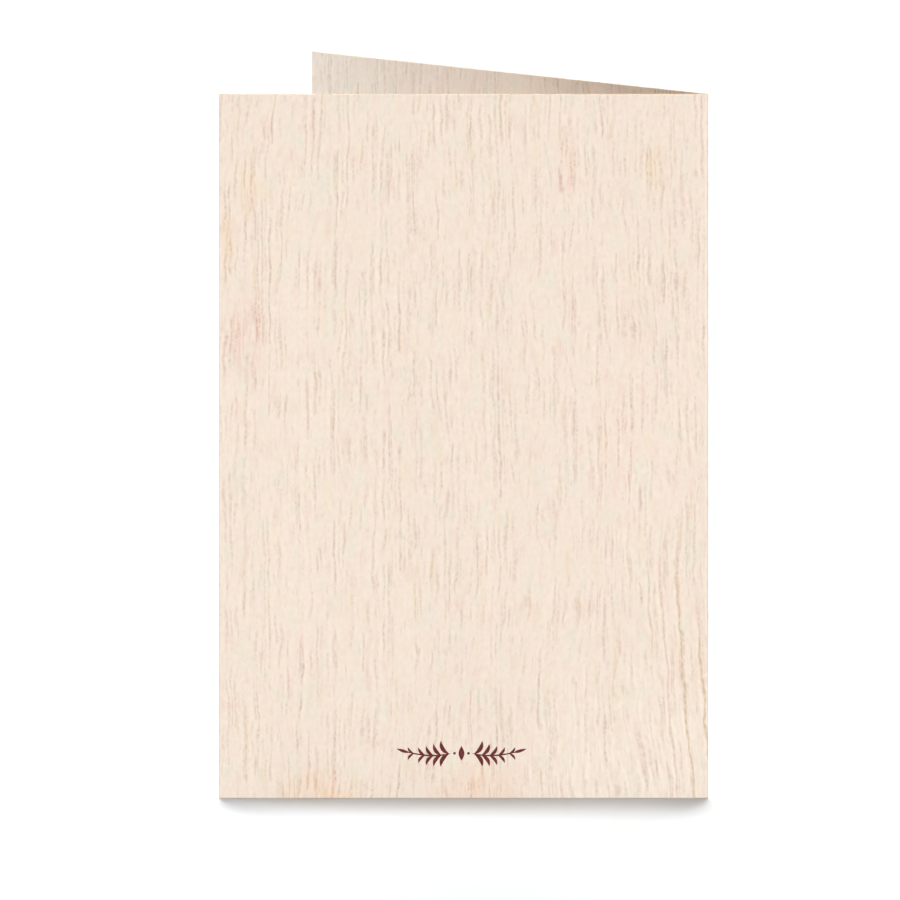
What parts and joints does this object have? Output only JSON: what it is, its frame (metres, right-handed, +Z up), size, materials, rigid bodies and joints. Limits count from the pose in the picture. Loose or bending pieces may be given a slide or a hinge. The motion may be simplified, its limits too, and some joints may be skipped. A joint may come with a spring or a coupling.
{
  "type": "greeting card",
  "caption": "Folded greeting card of thin pale wood: a scored sheet, folded down its middle, that stands half open on its bottom edges.",
  "frame": {"origin": "under the middle of the card's footprint, on the surface it stands on", "axes": "+Z up, along the spine; +X towards the spine, along the back cover; +Y from the back cover towards the front cover's free edge; the back cover's outer face looks towards -Y"},
  "size_m": [0.1048, 0.0624, 0.1524],
  "materials": {
    "wood_sheet": "matte"
  },
  "bodies": {
    "root": {"folded_card": "wood_sheet"}
  },
  "joints": []
}
